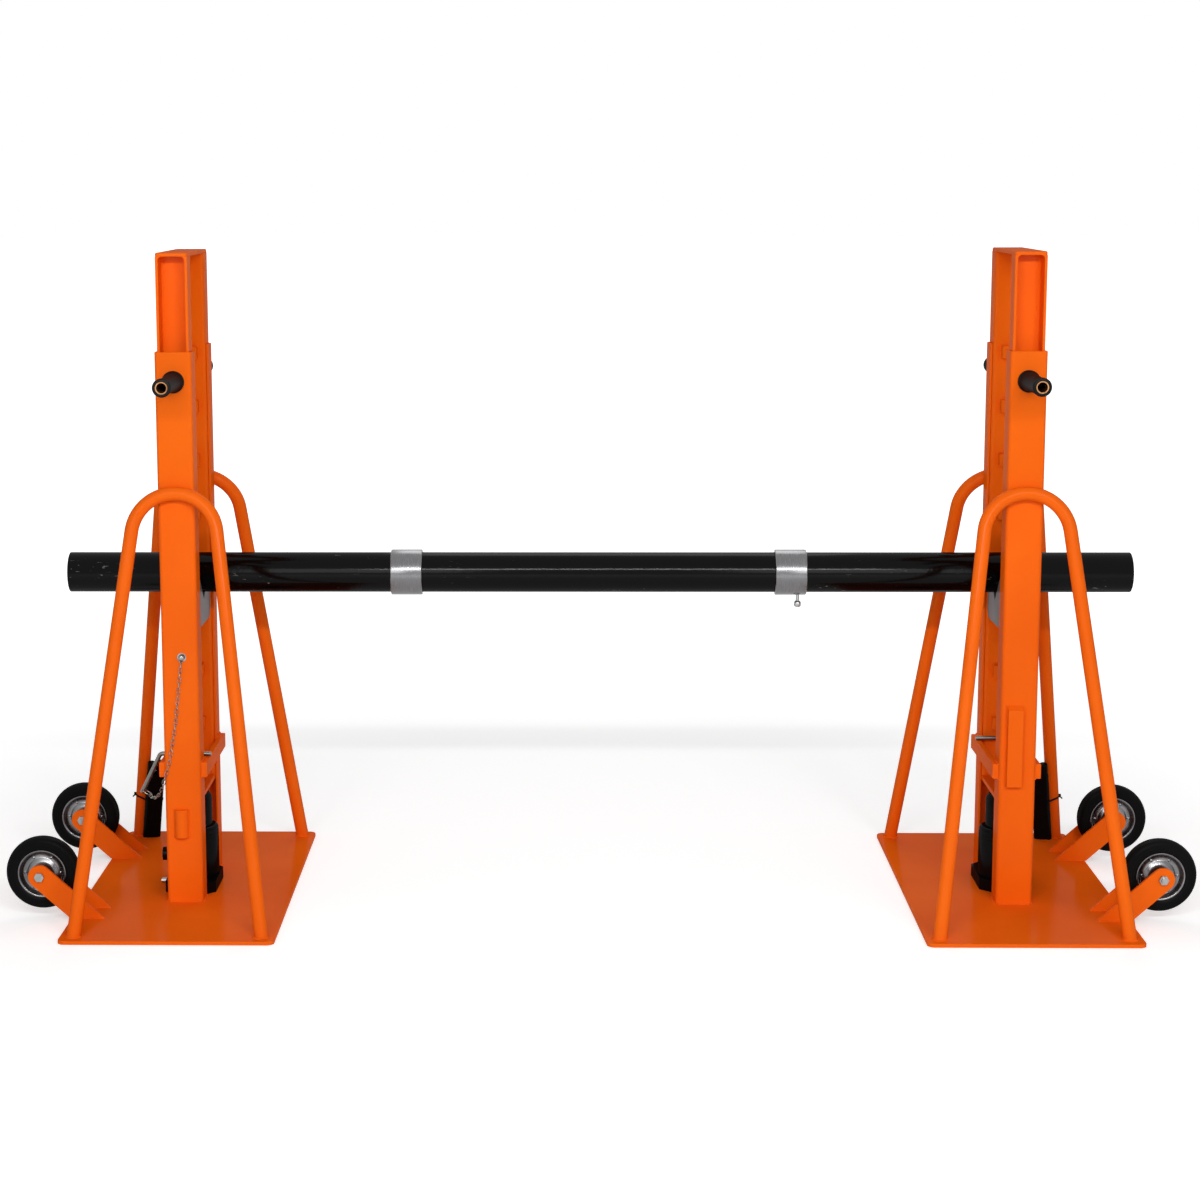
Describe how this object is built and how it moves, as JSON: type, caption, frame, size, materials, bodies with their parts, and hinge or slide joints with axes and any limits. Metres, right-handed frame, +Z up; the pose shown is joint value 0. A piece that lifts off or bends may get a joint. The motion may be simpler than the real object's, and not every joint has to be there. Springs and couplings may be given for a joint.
{
  "type": "cable drum jack",
  "caption": "Hydraulic lifting stands on wheels with a spindle tube across them, which raise a cable drum off the ground and let it turn.",
  "frame": {"origin": "on the ground, midway between the stands and under the spindle's middle", "axes": "+X along the spindle, +Y to the rear of the stands as pictured, +Z up"},
  "size_m": [2.591, 0.9, 1.442],
  "materials": {
    "orange_paint": "gloss",
    "grey_steel": "satin",
    "black_rubber": "matte",
    "tyre_rubber": "matte",
    "zinc_steel": "zinc plated",
    "bright_steel": "turned",
    "jack_paint": "gloss",
    "handle_paint": "satin",
    "black_paint": "satin"
  },
  "bodies": {
    "stands": {"base_plate_left": "orange_paint", "post_front_left": "orange_paint", "post_rear_left": "orange_paint", "hoop_front_left": "orange_paint", "hoop_rear_left": "orange_paint", "guide_bars_left": "orange_paint", "wheel_arms_left": "orange_paint", "axle_bolts_left": "zinc_steel", "grips_left": "black_rubber", "jack_base_left": "jack_paint", "jack_reservoir_left": "jack_paint", "jack_cylinder_left": "jack_paint", "pin_chain_left": "zinc_steel", "pump_handle_left": "handle_paint", "base_plate_right": "orange_paint", "post_front_right": "orange_paint", "post_rear_right": "orange_paint", "hoop_front_right": "orange_paint", "hoop_rear_right": "orange_paint", "guide_bars_right": "orange_paint", "wheel_arms_right": "orange_paint", "axle_bolts_right": "zinc_steel", "grips_right": "black_rubber", "jack_base_right": "jack_paint", "jack_reservoir_right": "jack_paint", "jack_cylinder_right": "jack_paint", "pin_chain_right": "zinc_steel", "pump_handle_right": "handle_paint"},
    "mast_left": {"mast_channels_left": "orange_paint", "mast_ends_left": "orange_paint", "mast_lugs_left": "orange_paint", "saddle_left": "grey_steel"},
    "mast_right": {"mast_channels_right": "orange_paint", "mast_ends_right": "orange_paint", "mast_lugs_right": "orange_paint", "saddle_right": "grey_steel"},
    "ram_left": {"jack_ram_left": "bright_steel"},
    "ram_right": {"jack_ram_right": "bright_steel"},
    "plunger_left": {"pump_plunger_left": "bright_steel"},
    "plunger_right": {"pump_plunger_right": "bright_steel"},
    "lever_left": {"lever_socket_left": "jack_paint"},
    "lever_right": {"lever_socket_right": "jack_paint"},
    "valve_left": {"release_valve_left": "zinc_steel"},
    "valve_right": {"release_valve_right": "zinc_steel"},
    "pin_left": {"safety_pin_left": "zinc_steel"},
    "pin_right": {"safety_pin_right": "zinc_steel"},
    "wheel_front_left": {"tyre_front_left": "tyre_rubber", "rim_front_left": "zinc_steel"},
    "wheel_rear_left": {"tyre_rear_left": "tyre_rubber", "rim_rear_left": "zinc_steel"},
    "wheel_front_right": {"tyre_front_right": "tyre_rubber", "rim_front_right": "zinc_steel"},
    "wheel_rear_right": {"tyre_rear_right": "tyre_rubber", "rim_rear_right": "zinc_steel"},
    "spindle": {"spindle": "black_paint"},
    "sleeve_left": {"sleeve_left": "bright_steel"},
    "clamp_left": {"clamp_screw_left": "bright_steel"},
    "sleeve_right": {"sleeve_right": "bright_steel"},
    "clamp_right": {"clamp_screw_right": "bright_steel"}
  },
  "joints": [
    {"name": "mast_lift_left", "type": "slide", "parent": "stands", "child": "mast_left", "axis": [0, 0, 1], "range_m": [0, 0.08]},
    {"name": "mast_lift_right", "type": "slide", "parent": "stands", "child": "mast_right", "axis": [0, 0, 1], "range_m": [0, 0.08]},
    {"name": "ram_lift_left", "type": "slide", "parent": "stands", "child": "ram_left", "axis": [0, 0, 1], "range_m": [0, 0.08]},
    {"name": "ram_lift_right", "type": "slide", "parent": "stands", "child": "ram_right", "axis": [0, 0, 1], "range_m": [0, 0.08]},
    {"name": "lever_swing_left", "type": "hinge", "parent": "stands", "child": "lever_left", "pos_m": [-0.8905, -0.08, 0.098], "axis": [0, 1, 0], "range_deg": [0, 30]},
    {"name": "plunger_lift_left", "type": "slide", "parent": "stands", "child": "plunger_left", "axis": [0, 0, 1], "range_m": [0, 0.016]},
    {"name": "valve_turn_left", "type": "hinge", "parent": "stands", "child": "valve_left", "pos_m": [-0.9755, -0.03, 0.021], "axis": [-1, 0, 0], "range_deg": [0, 540]},
    {"name": "pin_draw_left", "type": "slide", "parent": "stands", "child": "pin_left", "axis": [-1, 0, 0], "range_m": [0, 0.09], "deforming": ["pin_chain_left"]},
    {"name": "wheel_spin_front_left", "type": "hinge", "parent": "stands", "child": "wheel_front_left", "pos_m": [-1.2155, -0.2425, 0.101], "axis": [0, 1, 0], "continuous": true},
    {"name": "wheel_spin_rear_left", "type": "hinge", "parent": "stands", "child": "wheel_rear_left", "pos_m": [-1.2155, 0.2425, 0.101], "axis": [0, 1, 0], "continuous": true},
    {"name": "lever_swing_right", "type": "hinge", "parent": "stands", "child": "lever_right", "pos_m": [0.8905, 0.08, 0.098], "axis": [0, -1, 0], "range_deg": [0, 30]},
    {"name": "plunger_lift_right", "type": "slide", "parent": "stands", "child": "plunger_right", "axis": [0, 0, 1], "range_m": [0, 0.016]},
    {"name": "valve_turn_right", "type": "hinge", "parent": "stands", "child": "valve_right", "pos_m": [0.9755, 0.03, 0.021], "axis": [1, 0, 0], "range_deg": [0, 540]},
    {"name": "pin_draw_right", "type": "slide", "parent": "stands", "child": "pin_right", "axis": [1, 0, 0], "range_m": [0, 0.09], "deforming": ["pin_chain_right"]},
    {"name": "wheel_spin_front_right", "type": "hinge", "parent": "stands", "child": "wheel_front_right", "pos_m": [1.2155, 0.2425, 0.101], "axis": [0, 1, 0], "continuous": true},
    {"name": "wheel_spin_rear_right", "type": "hinge", "parent": "stands", "child": "wheel_rear_right", "pos_m": [1.2155, -0.2425, 0.101], "axis": [0, 1, 0], "continuous": true},
    {"name": "spindle_turn", "type": "hinge", "parent": "mast_left", "child": "spindle", "pos_m": [0, 0, 0.727], "axis": [1, 0, 0], "continuous": true},
    {"name": "sleeve_slide_left", "type": "slide", "parent": "spindle", "child": "sleeve_left", "axis": [1, 0, 0], "range_m": [-0.4, 0.3]},
    {"name": "clamp_turn_left", "type": "hinge", "parent": "sleeve_left", "child": "clamp_left", "pos_m": [-0.4455, 0, 0.727], "axis": [0, 1, 0], "range_deg": [0, 720]},
    {"name": "sleeve_slide_right", "type": "slide", "parent": "spindle", "child": "sleeve_right", "axis": [-1, 0, 0], "range_m": [-0.4, 0.3]},
    {"name": "clamp_turn_right", "type": "hinge", "parent": "sleeve_right", "child": "clamp_right", "pos_m": [0.4455, 0, 0.727], "axis": [0, 0, -1], "range_deg": [0, 720]}
  ],
  "couplings": [
    {"joint": "mast_lift_right", "follows": "mast_lift_left", "ratio": 1},
    {"joint": "ram_lift_left", "follows": "mast_lift_left", "ratio": 1},
    {"joint": "ram_lift_right", "follows": "mast_lift_left", "ratio": 1},
    {"joint": "plunger_lift_left", "follows": "lever_swing_left", "m_per_rad": 0.03},
    {"joint": "plunger_lift_right", "follows": "lever_swing_right", "m_per_rad": 0.03}
  ]
}
